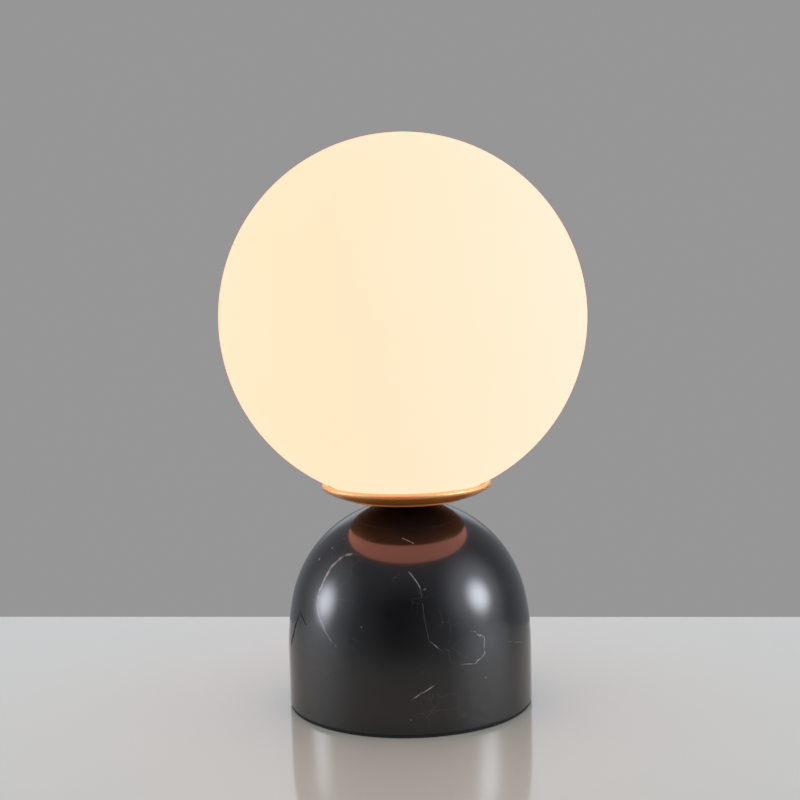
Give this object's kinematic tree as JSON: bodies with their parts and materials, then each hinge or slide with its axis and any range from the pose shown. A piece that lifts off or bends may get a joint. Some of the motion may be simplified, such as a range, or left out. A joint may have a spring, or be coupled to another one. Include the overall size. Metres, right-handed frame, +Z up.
{
  "type": "glass globe table lamp",
  "caption": "Table lamp: opal glass ball in a shallow metal dish on a domed black marble base; the ball lifts off and the bulb inside unscrews.",
  "frame": {"origin": "on the table, under the middle of the base", "axes": "+Z up through the base and the globe, -Y the front, the cord inlet faces +Y"},
  "size_m": [0.2, 0.2, 0.313],
  "materials": {
    "black_marble": "polished, thin white veins",
    "opal_glass": "opal, glossy outside",
    "bronze_plate": "polished, warm bronze plating",
    "zinc_steel": "zinc plated",
    "spring_steel": "blank spring steel",
    "black_rubber": "matt",
    "clear_silicone": "matt, translucent",
    "foam_pad": "closed-cell foam",
    "white_nylon": "moulded",
    "black_thermoplastic": "moulded",
    "porcelain": "glazed",
    "contact_brass": "bright",
    "nickel_cap": "bright, rolled",
    "solder": "dull",
    "black_glass": "fused",
    "white_housing": "moulded",
    "frosted_diffuser": "frosted",
    "board_white": "solder mask",
    "led_phosphor": "phosphor",
    "board_green": "solder mask",
    "component_black": "sleeved",
    "brown_sheath": "extruded",
    "blue_sheath": "extruded",
    "earth_sheath": "extruded, green and yellow"
  },
  "bodies": {
    "lamp_base": {"base_pad": "foam_pad", "cover_plate": "zinc_steel", "cover_screws": "zinc_steel", "screw_anchors": "white_nylon", "marble_base": "black_marble", "cord_inlet": "black_rubber", "threaded_tube": "zinc_steel", "soft_washer": "black_rubber", "clamp_washer": "zinc_steel", "lock_washer": "zinc_steel", "base_nut": "zinc_steel", "upper_nut": "zinc_steel", "spacer_washer": "black_rubber", "shade_dish": "bronze_plate", "seat_ring": "clear_silicone", "clip_plate": "zinc_steel", "leaf_springs": "spring_steel", "leaf_rivets": "zinc_steel", "holder_cap": "black_thermoplastic", "holder_shell": "black_thermoplastic", "holder_insulator": "porcelain", "holder_terminals": "contact_brass", "holder_contact_screws": "contact_brass", "centre_contact": "contact_brass", "thread_shell": "contact_brass", "terminal_block": "white_nylon", "terminal_barrels": "contact_brass", "terminal_screws": "zinc_steel", "block_screws": "zinc_steel", "live_wire": "brown_sheath", "neutral_wire": "blue_sheath", "earth_tag": "contact_brass", "earth_wire": "earth_sheath"},
    "globe": {"glass_globe": "opal_glass"},
    "bulb_tip": {"bulb_tip": "solder"},
    "bulb": {"bulb_cap_insulator": "black_glass", "bulb_cap": "nickel_cap", "bulb_housing": "white_housing", "bulb_diffuser": "frosted_diffuser", "led_board": "board_white", "led_chips": "led_phosphor", "driver_board": "board_green", "driver_parts": "component_black"}
  },
  "joints": [
    {"name": "globe_lift", "type": "slide", "parent": "lamp_base", "child": "globe", "axis": [0, 0, 1], "range_m": [0, 0.175]},
    {"name": "bulb_rise", "type": "slide", "parent": "lamp_base", "child": "bulb_tip", "axis": [0, 0, 1], "range_m": [0, 0.0291]},
    {"name": "bulb_turn", "type": "hinge", "parent": "bulb_tip", "child": "bulb", "pos_m": [0, 0, 0.154], "axis": [0, 0, 1], "range_deg": [0, 2880]}
  ],
  "couplings": [
    {"joint": "bulb_rise", "follows": "bulb_turn", "m_per_rad": 0.0005775}
  ]
}
